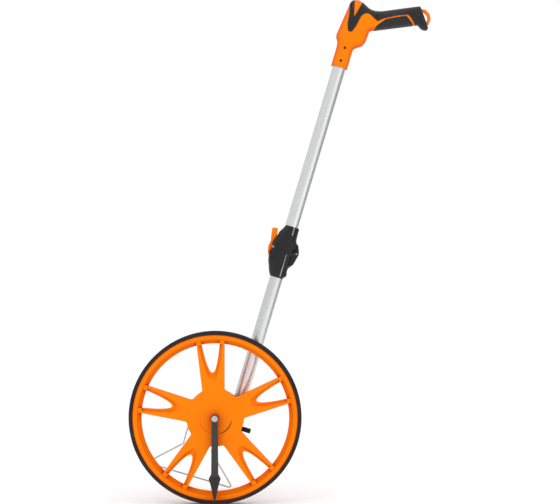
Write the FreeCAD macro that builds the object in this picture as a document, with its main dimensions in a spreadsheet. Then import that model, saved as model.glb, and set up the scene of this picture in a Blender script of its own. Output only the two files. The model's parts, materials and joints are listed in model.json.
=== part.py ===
import FreeCAD, Part
import math
import os
import types
import Sketcher
from FreeCAD import Placement, Rotation, Vector

# A folding measuring wheel.  The row frame has its origin where the tyre meets the ground, +Z up, with
# the wheel spinning about Y and the pole leaning towards +X.  The pointer hangs on the -Y side, and the
# counter and the pole are on the +Y side.

DRIVING = {
    "circumference": 1000, "lean": 16.65, "tread_width": 22, "tyre_depth": 6.2, "rim_width": 19,
    "rim_lip": 144.6, "rim_bore": 136.2, "hub_radius": 50, "spoke_count": 5, "spoke_phase": -3.6,
    "spoke_root_width": 40, "spoke_rim_width": 53, "window_tip": 82, "window_width": 36.6,
    "axle_radius": 4, "running_gap": 0.06, "free_gap": 0.5,
    "tube_od": 25, "tube_wall": 1.5, "tube_offset": 34.5, "tube_depth": 38,
    "housing_size": 84, "housing_corner": 20, "housing_front": 16, "housing_back": 62, "housing_wall": 2.5,
    "gear_teeth": 24, "gear_module": 1, "drum_radius": 14, "drum_width": 5.2, "drum_pitch": 6,
    "split_height": 331, "hinge_across": 57.6, "knuckle_radius": 4.4, "knuckle_half": 10,
    "handle_foot": 688, "handle_wall": 2.6, "overmould_rise": 0.9,
    "grip_angle": 23.7, "pointer_length": 153, "stand_wire": 3.2, "stand_reach": 130.6, "stand_lean": 40,
    "reset_height": -13, "reset_depth": 55,
}


class Size(float):
    """A number that keeps the spreadsheet formula it is worked out by."""

    def __new__(cls, number, formula):
        size = float.__new__(cls, number)
        size.formula = formula
        return size

    def __add__(self, other):
        return join(self, "+", other, float(self) + float(other))

    def __sub__(self, other):
        return join(self, "-", other, float(self) - float(other))

    def __mul__(self, other):
        return join(self, "*", other, float(self) * float(other))

    def __truediv__(self, other):
        return join(self, "/", other, float(self) / float(other))

    def __radd__(self, other):
        return join(other, "+", self, float(other) + float(self))

    def __rsub__(self, other):
        return join(other, "-", self, float(other) - float(self))

    def __rmul__(self, other):
        return join(other, "*", self, float(other) * float(self))

    def __neg__(self):
        return join(0.0, "-", self, -float(self))


def formula_of(size):
    return size.formula if isinstance(size, Size) else "%.6f" % size


def join(left, sign, right, number):
    return Size(number, "(%s %s %s)" % (formula_of(left), sign, formula_of(right)))


def fill_sheet(doc):
    """Write the driving sizes into the sheet and return them as named values."""
    sheet = doc.addObject("Spreadsheet::Sheet", "Sizes")
    named = {}
    for row, (name, number) in enumerate(DRIVING.items(), start=1):
        sheet.set("A%d" % row, name)
        sheet.set("B%d" % row, str(number))
        sheet.setAlias("B%d" % row, name)
        named[name] = Size(number, "Sizes.%s" % name)
    doc.recompute()
    return types.SimpleNamespace(**named)


doc = FreeCAD.newDocument("measuring_wheel")
S = fill_sheet(doc)

# Frames.  WHEEL has its origin at the axle's centre; POLE is that frame leaned over, with z along the pole.
WHEEL_RADIUS = S.circumference / (2 * math.pi)
WHEEL = Placement(Vector(0, 0, WHEEL_RADIUS), Rotation())
POLE = Placement(Vector(0, 0, WHEEL_RADIUS), Rotation(Vector(0, 1, 0), S.lean))
TURN = {"x": Rotation(Vector(0, 1, 0), 90), "y": Rotation(Vector(1, 0, 0), -90), "z": Rotation()}
BIG = 400.0

subparts = []


# ---- helpers ----

def along(frame, axis, x=0.0, y=0.0, z=0.0):
    """The frame moved to a point, with its z turned to the named axis."""
    return frame.multiply(Placement(Vector(x, y, z), TURN[axis]))


def keep(obj, label, place):
    obj.Label = label
    obj.Placement = place
    subparts.append(obj)
    return obj


def hold(sketch, kind, edge, corner, size):
    """Hold a point of an edge to the sketch's origin by a size bound to the sheet."""
    index = sketch.addConstraint(Sketcher.Constraint(kind, -1, 1, edge, corner, float(size)))
    if isinstance(size, Size):
        sketch.setExpression("Constraints[%d]" % index, size.formula)


def draw_polygon(sketch, points):
    first = sketch.GeometryCount
    count = len(points)
    for i, (x, y) in enumerate(points):
        x_next, y_next = points[(i + 1) % count]
        sketch.addGeometry(Part.LineSegment(Vector(x, y, 0), Vector(x_next, y_next, 0)), False)
    for i, (x, y) in enumerate(points):
        sketch.addConstraint(Sketcher.Constraint("Coincident", first + i, 2, first + (i + 1) % count, 1))
        hold(sketch, "DistanceX", first + i, 1, x)
        hold(sketch, "DistanceY", first + i, 1, y)


def draw_circle(sketch, x, y, radius):
    circle = sketch.addGeometry(Part.Circle(Vector(x, y, 0), Vector(0, 0, 1), float(radius)), False)
    hold(sketch, "DistanceX", circle, 3, x)
    hold(sketch, "DistanceY", circle, 3, y)
    index = sketch.addConstraint(Sketcher.Constraint("Radius", circle, float(radius)))
    if isinstance(radius, Size):
        sketch.setExpression("Constraints[%d]" % index, radius.formula)


def new_sketch(label):
    """A body with an empty sketch on its own XZ plane."""
    body = doc.addObject("PartDesign::Body", label + "_body")
    sketch = body.newObject("Sketcher::SketchObject", label + "_sketch")
    plane = next(f for f in body.Origin.OriginFeatures if f.Role == "XZ_Plane")
    sketch.AttachmentSupport = [(plane, "")]
    sketch.MapMode = "FlatFace"
    return body, sketch


def turn_profile(label, profile):
    """A body turned about its own z from (radius, height) corners."""
    body, sketch = new_sketch(label)
    draw_polygon(sketch, profile)
    turned = body.newObject("PartDesign::Revolution", label + "_turned")
    turned.Profile = sketch
    turned.ReferenceAxis = (sketch, ["V_Axis"])
    turned.Angle = 360
    return body


def turned(label, place, profile):
    return keep(turn_profile(label, profile), label, place)


def ring_profile(inner, outer, low, high, bevel=0.0):
    """Corners of a plain ring, with its outer edges bevelled."""
    if bevel:
        return [(inner, low), (outer - bevel, low), (outer, low + bevel), (outer, high - bevel),
                (outer - bevel, high), (inner, high)]
    return [(inner, low), (outer, low), (outer, high), (inner, high)]


def pad_outline(label, outline, depth, holes=()):
    """A body padded towards +Y from an (x, z) outline and round holes (x, z, radius)."""
    body, sketch = new_sketch(label)
    draw_polygon(sketch, outline)
    for x, z, radius in holes:
        draw_circle(sketch, x, z, radius)
    pad = body.newObject("PartDesign::Pad", label + "_pad")
    pad.Profile = sketch
    pad.setExpression("Length", formula_of(depth))
    pad.Reversed = True
    return body


def padded(label, place, outline, depth, holes=()):
    return keep(pad_outline(label, outline, depth, holes), label, place)


def free_form(label, place, shape):
    """A sub-part whose shape is worked out with Part's own functions."""
    obj = doc.addObject("Part::Feature", label + "_form")
    unplaced = shape.copy()
    unplaced.Placement = Placement()
    obj.Shape = unplaced.transformed(shape.Placement.toMatrix(), copy=True)
    return keep(obj, label, place)


def rod(x, y, z, radius, length, direction):
    """A cylinder from a point along a direction."""
    return Part.makeCylinder(float(radius), float(length), Vector(x, y, z), Vector(*direction))


def block(low, high):
    size = [float(b) - float(a) for a, b in zip(low, high)]
    return Part.makeBox(size[0], size[1], size[2], Vector(*[float(v) for v in low]))


def flat_face(points, corner=0.0):
    """A face in the XZ plane through (x, z) points, with every corner rounded."""
    corners = [Vector(float(x), 0, float(z)) for x, z in points]
    face = Part.Face(Part.makePolygon(corners + corners[:1]))
    if corner:
        face = face.makeOffset2D(-corner).makeOffset2D(corner)
        face = face.makeOffset2D(corner).makeOffset2D(-corner)
    return face


def plate(points, low, high, corner=0.0):
    """A plate between two depths from (x, z) points."""
    face = flat_face(points, corner)
    face.translate(Vector(0, float(low), 0))
    return face.extrude(Vector(0, float(high) - float(low), 0))


def section(centre, across, half_across, half_depth, squareness=2.5, count=20):
    """A closed rounded curve about a centre, spanned by a direction in XZ and by Y."""
    points = []
    for i in range(count):
        angle = 2 * math.pi * (i + 0.5) / count
        c, s = math.cos(angle), math.sin(angle)
        u = math.copysign(abs(c) ** (2 / squareness), c) * half_across
        v = math.copysign(abs(s) ** (2 / squareness), s) * half_depth
        points.append(centre + across * u + Vector(0, v, 0))
    curve = Part.BSplineCurve()
    curve.interpolate(points, True)
    return Part.Wire(curve.toShape())


def upright_loft(stations, grow=0.0, depth=S.tube_depth):
    """A loft through level sections, each given as (height, low x, high x, half depth)."""
    wires = []
    for height, low, high, half in stations:
        centre = Vector((low + high) / 2, depth, height)
        wires.append(section(centre, Vector(1, 0, 0), (high - low) / 2 + grow, half + grow))
    return Part.makeLoft(wires, True, False)


def wire_loop(corners, radius):
    """A closed loop of round wire through corners given as (point, bend radius)."""
    count = len(corners)
    bends = []
    for i, (here, bend) in enumerate(corners):
        before = (corners[i - 1][0] - here).normalize()
        after = (corners[(i + 1) % count][0] - here).normalize()
        half = before.getAngle(after) / 2
        back = bend / math.tan(half)
        middle = here + (before + after).normalize() * (bend / math.sin(half) - bend)
        bends.append((here + before * back, middle, here + after * back))
    edges = []
    for i, (start, middle, stop) in enumerate(bends):
        edges.append(Part.Arc(start, middle, stop).toShape())
        edges.append(Part.LineSegment(stop, bends[(i + 1) % count][0]).toShape())
    first = edges[0]
    heading = first.tangentAt(first.FirstParameter)
    profile = Part.Wire(Part.makeCircle(float(radius), bends[0][0], heading))
    return Part.Wire(edges).makePipeShell([profile], True, True)


def gear(teeth, module, low, high, bore, phase=0.0):
    """A spur gear about Y with a tooth centred at the phase angle, measured from x towards z."""
    pitch = teeth * module / 2
    step = 2 * math.pi / teeth
    points = []
    for i in range(int(teeth)):
        for radius, share in ((pitch - 1.2 * module, -0.30), (pitch + 0.9 * module, -0.11),
                              (pitch + 0.9 * module, 0.11), (pitch - 1.2 * module, 0.30)):
            angle = phase + step * (i + share)
            points.append((radius * math.cos(angle), radius * math.sin(angle)))
    disc = plate(points, low, high)
    return disc.cut(rod(0, low - 1, 0, bore, high - low + 2, (0, 1, 0)))


def button_screw(head, shank, length, recess=1.2):
    """A screw along +z below its head, which stands from 0 to -recess*1.5, with a cross recess."""
    top = -recess * 1.5
    dome = Part.makeCylinder(head, recess * 1.5, Vector(0, 0, top))
    rim = [e for e in dome.Edges if e.BoundBox.ZLength < 1e-6 and abs(e.BoundBox.ZMin - top) < 1e-6]
    dome = dome.makeFillet(recess * 0.8, rim)
    cross = block((-head * 0.6, -0.5, -recess * 2), (head * 0.6, 0.5, -recess * 0.7))
    cross = cross.fuse(block((-0.5, -head * 0.6, -recess * 2), (0.5, head * 0.6, -recess * 0.7)))
    return dome.cut(cross).fuse(Part.makeCylinder(shank, length)).removeSplitter()


def placed(shape, x, y, z, direction):
    """A copy of a shape made along +z, moved to a point and turned to a direction."""
    copy = shape.copy()
    copy.Placement = Placement(Vector(x, y, z), Rotation(Vector(0, 0, 1), Vector(*direction)))
    return copy


# ---- wheel ----

RIM_RADIUS = WHEEL_RADIUS - S.tyre_depth
BUSH_RADIUS = S.axle_radius + 2.5
WEB_FRONT = -8.0
WEB_BACK = 4.0
PRONG_REACH = 7.0


def spoke_outline(inner, outer):
    """Corners of one upright spoke."""
    root = S.spoke_root_width / 2
    rim = S.spoke_rim_width / 2
    return [(-root, inner), (root, inner), (rim, outer), (-rim, outer)]


def window_outline(tip, half, base, count=9):
    """A parabola standing on its tip, closed by a straight top at the base radius."""
    points = []
    for i in range(-count, count + 1):
        u = i / count
        points.append((half * u, tip + (base - tip) * u * u))
    return points


def spun(shape, index):
    """A copy of a spoke feature turned to its place in the wheel."""
    copy = shape.copy()
    angle = 360 / S.spoke_count * index + S.spoke_phase
    copy.rotate(Vector(0, 0, 0), Vector(0, 1, 0), float(angle))
    return copy


def web_with_windows():
    """The flat web between hub and rim, with big windows, small windows and scoops around the small ones."""
    bore = float(S.rim_bore)
    hub = float(S.hub_radius) + 3
    reach = bore + PRONG_REACH
    disc = Part.makeCircle(reach + 2, Vector(0, 0, 0), Vector(0, 1, 0))
    middle = Part.makeCircle(hub, Vector(0, 0, 0), Vector(0, 1, 0))
    gap = Part.Face(Part.Wire(disc)).cut(Part.Face(Part.Wire(middle)))
    spoke = flat_face(spoke_outline(hub - 10, reach + 4))
    spokes = [spun(spoke, i) for i in range(int(S.spoke_count))]
    cuts = []
    for face in gap.cut(spokes).Faces:
        rounded = face.makeOffset2D(-5.0).makeOffset2D(5.0)
        rounded.translate(Vector(0, WEB_FRONT - 2, 0))
        cuts.append(rounded.extrude(Vector(0, WEB_BACK - WEB_FRONT + 4, 0)))
    half = S.window_width / 2
    window = flat_face(window_outline(S.window_tip, half, reach + 2)).makeOffset2D(-2.5).makeOffset2D(2.5)
    window.translate(Vector(0, WEB_FRONT - 2, 0))
    window = window.extrude(Vector(0, WEB_BACK - WEB_FRONT + 4, 0))
    wide = flat_face(window_outline(S.window_tip - 15, half + 4.0, S.rim_bore - 2))
    narrow = flat_face(window_outline(S.window_tip - 6, half, S.rim_bore - 2))
    wide.translate(Vector(0, WEB_FRONT - 0.1, 0))
    narrow.translate(Vector(0, WEB_FRONT + 4.5, 0))
    scoop = Part.makeLoft([wide.OuterWire, narrow.OuterWire], True, True)
    for i in range(int(S.spoke_count)):
        cuts.append(spun(window, i))
        cuts.append(spun(scoop, i))
    web = rod(0, WEB_FRONT, 0, reach, WEB_BACK - WEB_FRONT, (0, 1, 0))
    web = web.cut(rod(0, WEB_FRONT - 1, 0, hub - 5.5, WEB_BACK - WEB_FRONT + 2, (0, 1, 0)))
    return web.cut(cuts)


def make_wheel():
    half = S.rim_width / 2
    rim = turn_profile("rim", [(S.rim_bore, 1.5), (S.rim_lip - 0.6, -half + 0.7), (S.rim_lip + 1, -half),
                               (RIM_RADIUS - 1.5, -half), (RIM_RADIUS, -half + 1.0), (RIM_RADIUS, half - 1.0),
                               (RIM_RADIUS - 1.5, half), (S.rim_lip + 1, half), (S.rim_lip - 0.6, half - 0.7),
                               (S.rim_bore, 4.5)])
    hub_profile = [(BUSH_RADIUS, -10.0), (S.hub_radius - 11, -10.0), (S.hub_radius - 4, -9.4),
                   (S.hub_radius, -8.2), (S.hub_radius + 1.5, WEB_FRONT), (S.hub_radius + 1.5, WEB_BACK),
                   (S.hub_radius - 1, 9.0), (S.hub_radius - 4, 9.0),
                   (S.hub_radius - 4, -3.0), (S.hub_radius - 8, -6.5), (BUSH_RADIUS + 5, -6.5),
                   (BUSH_RADIUS + 5, 10.0), (BUSH_RADIUS, 10.0)]
    hub = turn_profile("hub", hub_profile)
    rim.Placement = along(Placement(), "y")
    hub.Placement = along(Placement(), "y")
    web = doc.addObject("Part::Feature", "web")
    web.Shape = web_with_windows()
    wheel = doc.addObject("Part::MultiFuse", "wheel_moulding")
    wheel.Shapes = [rim, hub, web]
    keep(wheel, "wheel", WHEEL)


def make_tyre():
    half = S.tread_width / 2
    groove = 0.8
    profile = [(RIM_RADIUS, -half), (WHEEL_RADIUS - 2.0, -half), (WHEEL_RADIUS - 0.6, -half + 0.8),
               (WHEEL_RADIUS, -half + 2.2)]
    for place in (-5.0, 0.0, 5.0):
        profile += [(WHEEL_RADIUS, place - 1.0), (WHEEL_RADIUS - groove, place - 0.5),
                    (WHEEL_RADIUS - groove, place + 0.5), (WHEEL_RADIUS, place + 1.0)]
    profile += [(WHEEL_RADIUS, half - 2.2), (WHEEL_RADIUS - 0.6, half - 0.8), (WHEEL_RADIUS - 2.0, half),
                (RIM_RADIUS, half)]
    turned("tyre", along(WHEEL, "y"), profile)


def make_hub_bushes():
    bore = S.axle_radius + S.running_gap
    front = rod(0, -10, 0, BUSH_RADIUS, 6, (0, 1, 0)).cut(rod(0, -11, 0, bore, 8, (0, 1, 0)))
    back = rod(0, 4, 0, BUSH_RADIUS, 6, (0, 1, 0)).cut(rod(0, 3, 0, bore, 8, (0, 1, 0)))
    free_form("hub_bushes", WHEEL, Part.makeCompound([front, back]))


# ---- drive and counter ----

GEAR_LOW = 19.6
GEAR_HIGH = 23.6
DRUM_FROM_AXLE = S.gear_teeth * S.gear_module
DRUM_ANGLE = math.radians(106)
DRUM_X = DRUM_FROM_AXLE * math.cos(DRUM_ANGLE)
DRUM_Z = DRUM_FROM_AXLE * math.sin(DRUM_ANGLE)
DRUM_START = 26.0
SHAFT_RADIUS = 2.0
TRANSFER_X = DRUM_X - 19.4
TRANSFER_RADIUS = 1.0


def make_drive_gear():
    """The sleeve that the wheel turns, with the gear at its end."""
    bore = S.axle_radius + S.running_gap
    teeth = gear(float(S.gear_teeth), float(S.gear_module), GEAR_LOW, GEAR_HIGH, float(bore), DRUM_ANGLE)
    sleeve = rod(0, 10, 0, BUSH_RADIUS, GEAR_LOW - 10, (0, 1, 0)).cut(rod(0, 9, 0, bore, 20, (0, 1, 0)))
    free_form("drive_gear", POLE, teeth.fuse(sleeve).removeSplitter())


def make_input_gear():
    """The counter's gear, with a gap between two teeth where the drive gear's tooth enters."""
    half_step = math.pi / float(S.gear_teeth)
    bore = SHAFT_RADIUS + float(S.running_gap)
    teeth = gear(float(S.gear_teeth), float(S.gear_module), GEAR_LOW, GEAR_HIGH, bore,
                 DRUM_ANGLE + math.pi + half_step)
    collar = rod(0, GEAR_HIGH, 0, 4.5, DRUM_START - GEAR_HIGH, (0, 1, 0))
    shape = teeth.fuse(collar.cut(rod(0, GEAR_LOW, 0, bore, 10, (0, 1, 0))))
    free_form("input_gear", POLE.multiply(Placement(Vector(DRUM_X, 0, DRUM_Z), Rotation())), shape)


def make_number_drums():
    """Five drums on one shaft, each with a stepped side for its transfer pinion."""
    for number in range(1, 6):
        low = DRUM_START + (number - 1) * S.drum_pitch
        bore = SHAFT_RADIUS + S.running_gap
        profile = [(bore, 0.0), (S.drum_radius - 1.2, 0.0), (S.drum_radius - 1.2, 0.7), (S.drum_radius, 0.7),
                   (S.drum_radius, S.drum_width), (bore, S.drum_width)]
        turned("number_drum_%d" % number, along(POLE, "y", DRUM_X, low, DRUM_Z), profile)


def make_transfer_pinions():
    """Four small pinions beside the drums, one between each drum and the next."""
    bore = TRANSFER_RADIUS + float(S.running_gap)
    for number in range(1, 5):
        low = DRUM_START + number * float(S.drum_pitch) - 1.6
        shape = gear(8.0, 0.9, low, low + 2.4, bore)
        place = POLE.multiply(Placement(Vector(TRANSFER_X, 0, DRUM_Z), Rotation()))
        free_form("transfer_pinion_%d" % number, place, shape)


def make_counter_frame():
    """Two plates that carry the drum shaft and the transfer shaft, and stand on the housing's floor posts."""
    outline = [(TRANSFER_X - 2.8, DRUM_Z - 5), (DRUM_X - 2, DRUM_Z - 9), (DRUM_X + 9, DRUM_Z - 4),
               (DRUM_X + 9, DRUM_Z + 5), (DRUM_X, DRUM_Z + 9), (TRANSFER_X - 2.8, DRUM_Z + 6)]
    plates = []
    for low in (24.2, 56.6):
        piece = plate(outline, low, low + 1.4, 1.5)
        for x, z, radius in ((DRUM_X, DRUM_Z, 4.8 if low < 30 else SHAFT_RADIUS),
                             (TRANSFER_X, DRUM_Z, TRANSFER_RADIUS)):
            piece = piece.cut(rod(x, low - 1, z, radius, 4, (0, 1, 0)))
        plates.append(piece)
    free_form("counter_frame", POLE, Part.makeCompound(plates))
    turned("drum_shaft", along(POLE, "y", DRUM_X, 18.6, DRUM_Z), ring_profile(0.0, 2.0, 0.0, 40.9, 0.3))
    turned("transfer_shaft", along(POLE, "y", TRANSFER_X, 24.2, DRUM_Z), ring_profile(0.0, 1.0, 0.0, 35.3))


# ---- housing ----

HOUSING_HALF = S.housing_size / 2
SOCKET_RADIUS = S.tube_od / 2 + 4.5
SOCKET_FOOT = -4.0
SOCKET_TOP = 45.0
POSTS = [(sx * 32.5, sz * 31.5) for sx, sz in ((-1, -1), (1, -1), (-1, 1))]
WINDOW = ((-17.0, 28.0), (5.0, 55.0))


def rounded_square(half, corner, low, high):
    """The housing's outline as a plate, its corners round."""
    half = float(half)
    points = [(-half, -half), (half, -half), (half, half), (-half, half)]
    face = flat_face(points).makeOffset2D(-float(corner)).makeOffset2D(float(corner))
    face.translate(Vector(0, float(low), 0))
    return face.extrude(Vector(0, float(high - low), 0))


def housing_block():
    """The whole counter housing before it is split: walls, pole socket, posts and openings."""
    front, back, wall = float(S.housing_front), float(S.housing_back), float(S.housing_wall)
    outer = rounded_square(HOUSING_HALF, S.housing_corner, front, back)
    faces = [e for e in outer.Edges if abs(e.BoundBox.YLength) < 1e-6]
    outer = outer.makeFillet(3.0, faces)
    hollow = rounded_square(HOUSING_HALF - wall, S.housing_corner - wall, front + wall, back - wall)
    socket = rod(S.tube_offset, S.tube_depth, SOCKET_FOOT, SOCKET_RADIUS, SOCKET_TOP - SOCKET_FOOT, (0, 0, 1))
    lip = [e for e in socket.Edges if e.BoundBox.ZLength < 1e-6]
    socket = socket.makeFillet(1.6, lip)
    posts = [rod(x, front + 1, z, 4.2, back - front - 2, (0, 1, 0)) for x, z in POSTS]
    boss = rod(0, back - wall - 1, 0, 9, wall, (0, 1, 0))
    body = outer.cut(hollow).fuse([socket] + posts + [boss])
    tube = rod(S.tube_offset, S.tube_depth, SOCKET_FOOT + 2, S.tube_od / 2 + 0.05, 80, (0, 0, 1))
    (x_low, y_low), (x_high, y_high) = WINDOW
    opening = block((x_low, y_low, float(HOUSING_HALF) - 8), (x_high, y_high, float(HOUSING_HALF) + 8))
    cuts = [tube, opening, rod(0, front - 1, 0, BUSH_RADIUS + 0.7, wall + 2, (0, 1, 0)),
            rod(0, back - 8, 0, S.axle_radius + 0.05, 12, (0, 1, 0)),
            rod(30, S.reset_depth, S.reset_height, 4.5, 30, (1, 0, 0))]
    for x, z in POSTS:
        cuts.append(rod(x, front + 8, z, 1.55, back - front, (0, 1, 0)))
        cuts.append(rod(x, back - 1.9, z, 3.1, 4, (0, 1, 0)))
    return body.cut(cuts)


def make_housing():
    whole = housing_block()
    split = float(S.tube_depth)
    front = whole.common(block((-BIG, -BIG, -BIG), (BIG, split, BIG)))
    back = whole.common(block((-BIG, split, -BIG), (BIG, BIG, BIG)))
    free_form("housing_front", POLE, front)
    free_form("housing_rear", POLE, back)
    screw = button_screw(3.0, 1.5, 30, 1.2)
    depth = float(S.housing_back)
    screws = [placed(screw, x, depth - 1.9 + 1.8, z, (0, -1, 0)) for x, z in POSTS]
    screws = [s.cut(rod(x, depth - 0.1, z, 5, 9, (0, 1, 0))) for s, (x, z) in zip(screws, POSTS)]
    free_form("housing_screws", POLE, Part.makeCompound(screws))


def make_counter_window():
    """The bezel around the counter's opening, and the clear lens in it."""
    (x_low, y_low), (x_high, y_high) = WINDOW
    top = float(HOUSING_HALF)
    ring = block((x_low - 2.5, y_low - 2.5, top), (x_high + 2.5, y_high + 2.5, top + 2.0))
    ring = ring.makeChamfer(1.0, [e for e in ring.Edges if abs(e.BoundBox.ZMin - top - 2.0) < 1e-6])
    neck = block((x_low, y_low, top - 2.5), (x_high, y_high, top))
    hole = block((x_low + 1.6, y_low + 1.6, top - 9), (x_high - 1.6, y_high - 1.6, top + 9))
    seat = block((x_low + 1.0, y_low + 1.0, top), (x_high - 1.0, y_high - 1.0, top + 9))
    free_form("counter_bezel", POLE, ring.fuse(neck).cut([hole, seat]).removeSplitter())
    lens = block((x_low + 1.0, y_low + 1.0, top), (x_high - 1.0, y_high - 1.0, top + 1.5))
    free_form("counter_lens", POLE, lens)


def make_axle():
    radius = S.axle_radius
    turned("axle", along(WHEEL, "y", 0, -26.6, 0), ring_profile(0.0, radius, 0.0, 26.6 + 68.0, 0.5))
    head = button_screw(6.0, 1.5, 0.5, 1.4).cut(Part.makeCylinder(9, 9))
    free_form("axle_screw", WHEEL, placed(head, 0, -26.6, 0, (0, 1, 0)))
    profile = ring_profile(radius, 6.0, 0.0, 4.9, 0.4)
    turned("pointer_spacer", along(WHEEL, "y", 0, -15.6, 0), profile)
    spacer_low = GEAR_HIGH + 0.3
    turned("axle_spacer", along(POLE, "y", 0, spacer_low, 0),
           ring_profile(radius, radius + 2, 0.0, S.housing_back - S.housing_wall - 1 - spacer_low))
    turned("axle_washer", along(POLE, "y", 0, S.housing_back, 0), ring_profile(radius, 8.0, 0.0, 1.2, 0.2))
    corners = [(7.0 * math.cos(math.radians(60 * i)), 7.0 * math.sin(math.radians(60 * i))) for i in range(6)]
    padded("axle_nut", POLE.multiply(Placement(Vector(0, S.housing_back + 1.2, 0), Rotation())),
           corners, 4.0, [(0.0, 0.0, S.axle_radius)])


SPRING_RADIUS = 3.35
SPRING_WIRE = 0.32


def make_reset():
    """A push rod with its knob, guide bush and clip, and its return spring of square wire."""
    height, depth = S.reset_height, S.reset_depth
    place = along(POLE, "x", 0, depth, height)
    turned("reset_rod", place, [(0.0, 18.0), (2.0, 18.0), (2.0, 26.0), (2.5, 26.0), (2.5, 56.0), (0.0, 56.0)])
    bush = [(2.56, 37.5), (4.5, 37.5), (4.5, 42.0), (5.6, 42.0), (5.6, 43.2), (2.56, 43.2)]
    turned("reset_bush", place, bush)
    turned("reset_clip", place, ring_profile(2.5, 4.2, 27.0, 28.0))
    knob = block((50.5, depth - 3.0, height - 4.4), (70.6, depth + 3.5, height + 4.4))
    knob = knob.makeFillet(1.2, knob.Edges)
    knob = knob.cut(rod(49, depth, height, 2.5, 7, (1, 0, 0)))
    free_form("reset_knob", POLE, knob)
    coil = Part.makeHelix(1.6, 6.4, SPRING_RADIUS)
    start = Vector(SPRING_RADIUS, 0, 0)
    corners = [start + Vector(x, 0, z) * SPRING_WIRE for x, z in ((-1, -1), (1, -1), (1, 1), (-1, 1))]
    wire = Part.makePolygon(corners + corners[:1])
    spring = Part.Wire(coil).makePipeShell([wire], True, True)
    free_form("reset_spring", place.multiply(Placement(Vector(0, 0, 43.6), Rotation())), spring)


# ---- stand ----

STAND_X = -17.0
STAND_Z = -41.0
STAND_DEPTH = 66.6
STAND_NARROW = 28.0
STAND_WIDE = 87.5
STAND_BEND = 47.0
STAND_TIGHT = 2.4
BRACKET_HALF = STAND_NARROW - STAND_TIGHT - 0.4


def make_stand():
    """A closed wire loop that hinges on its top bar, and the bracket that holds the bar."""
    radius = S.stand_wire / 2
    lean = math.radians(S.stand_lean)
    outward = Vector(0, math.sin(lean), -math.cos(lean))
    top = Vector(STAND_X, STAND_DEPTH, STAND_Z)
    corners = []
    for half, reach, bend in ((-STAND_NARROW, 0.0, STAND_TIGHT), (-STAND_NARROW, STAND_BEND, 9.0),
                              (-STAND_WIDE, S.stand_reach, 5.0), (STAND_WIDE, S.stand_reach, 5.0),
                              (STAND_NARROW, STAND_BEND, 9.0), (STAND_NARROW, 0.0, STAND_TIGHT)):
        corners.append((top + Vector(half, 0, 0) + outward * float(reach), bend))
    free_form("stand_wire", POLE, wire_loop(corners, radius))
    low = float(S.housing_back)
    back = STAND_DEPTH + 4.6
    outline = [(low, STAND_Z + 14), (low + 2.5, STAND_Z + 14), (low + 3.2, STAND_Z + 5.5),
               (back, STAND_Z + 3.5), (back, STAND_Z - 4.2), (low + 1, STAND_Z - 4.6), (low, STAND_Z - 3)]
    corners = [Vector(STAND_X - BRACKET_HALF, y, z) for y, z in outline]
    bar = Part.Face(Part.makePolygon(corners + corners[:1])).extrude(Vector(2 * BRACKET_HALF, 0, 0))
    bore = rod(-60, STAND_DEPTH, STAND_Z, radius + S.running_gap, 120, (1, 0, 0))
    places = (STAND_X - 14, STAND_X + 15)
    holes = [rod(x, low - 1, STAND_Z + 10.5, 1.55, 9, (0, 1, 0)) for x in places]
    seats = [rod(x, low + 1.2, STAND_Z + 10.5, 3.1, 9, (0, 1, 0)) for x in places]
    free_form("stand_bracket", POLE, bar.cut([bore] + holes + seats))
    screw = button_screw(2.9, 1.5, 1.2, 1.0)
    screws = [placed(screw, x, low + 1.2, STAND_Z + 10.5, (0, -1, 0)) for x in places]
    free_form("stand_screws", POLE, Part.makeCompound(screws))


# ---- pole and fold joint ----

BORE_RADIUS = S.tube_od / 2 + 0.05
LOWER_STATIONS = [(279.0, 22.0, 47.0, 13.6), (284.0, 18.6, 50.0, 15.0), (292.0, 15.4, 50.6, 16.0),
                  (302.0, 11.6, 51.4, 17.0), (308.0, 9.6, 56.0, 17.8), (316.0, 8.0, 57.2, 18.2),
                  (324.0, 8.0, 57.4, 18.4), (330.85, 8.8, 57.4, 18.4)]
UPPER_STATIONS = [(331.15, 8.8, 57.4, 18.4), (338.0, 8.0, 57.4, 18.4), (345.0, 8.8, 56.8, 18.0),
                  (351.0, 11.4, 52.2, 17.4), (358.0, 13.6, 50.2, 16.4), (366.0, 17.0, 49.8, 15.4),
                  (373.0, 21.0, 49.6, 14.4), (378.0, 23.4, 47.6, 13.6)]
EAR_HALF = S.knuckle_half + 6.5


def knuckle(low, high, radius):
    """A cylinder about the fold hinge between two offsets from the pole's depth."""
    return rod(S.hinge_across, S.tube_depth + low, S.split_height, radius, high - low, (0, 1, 0))


LOWER_SCREW = 296.0
UPPER_SCREW = 362.0
JOINT_SCREW_SEAT = S.tube_depth + 14.2
LEVER_SLOT_HALF = 5.3
LATCH_X = 9.2
LATCH_Z = 322.0
LOWER_LOBE = [(50, 330.85), (62, 330.85), (60.8, 324.7), (57.3, 310), (50, 306)]
UPPER_LOBE = [(50, 331.15), (62, 331.15), (60.6, 337.5), (56.3, 347.5), (50, 350)]
SLIT = (38.8, 41.2)


def joint_screw_hole(height):
    """The hole and the sunk seat for a casting's screw, from the back."""
    hole = rod(S.tube_offset, S.tube_depth + 30, height, 1.65, 18.5, (0, -1, 0))
    seat_depth = S.tube_depth + 30 - JOINT_SCREW_SEAT
    return hole.fuse(rod(S.tube_offset, S.tube_depth + 30, height, 3.6, seat_depth, (0, -1, 0)))


def lobe(points, low, high):
    """A plate around the hinge between two offsets from the pole's depth."""
    return plate(points, S.tube_depth + low, S.tube_depth + high)


def lobe_clearance(points, low, high):
    """The room that the other casting's plate takes when the joint is folded flat."""
    mirrored = [(2 * float(S.hinge_across) - x, 2 * float(S.split_height) - z) for x, z in points]
    face = flat_face(mirrored).makeOffset2D(float(S.free_gap))
    face.translate(Vector(0, float(S.tube_depth) + low, 0))
    return face.extrude(Vector(0, high - low, 0))


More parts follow.
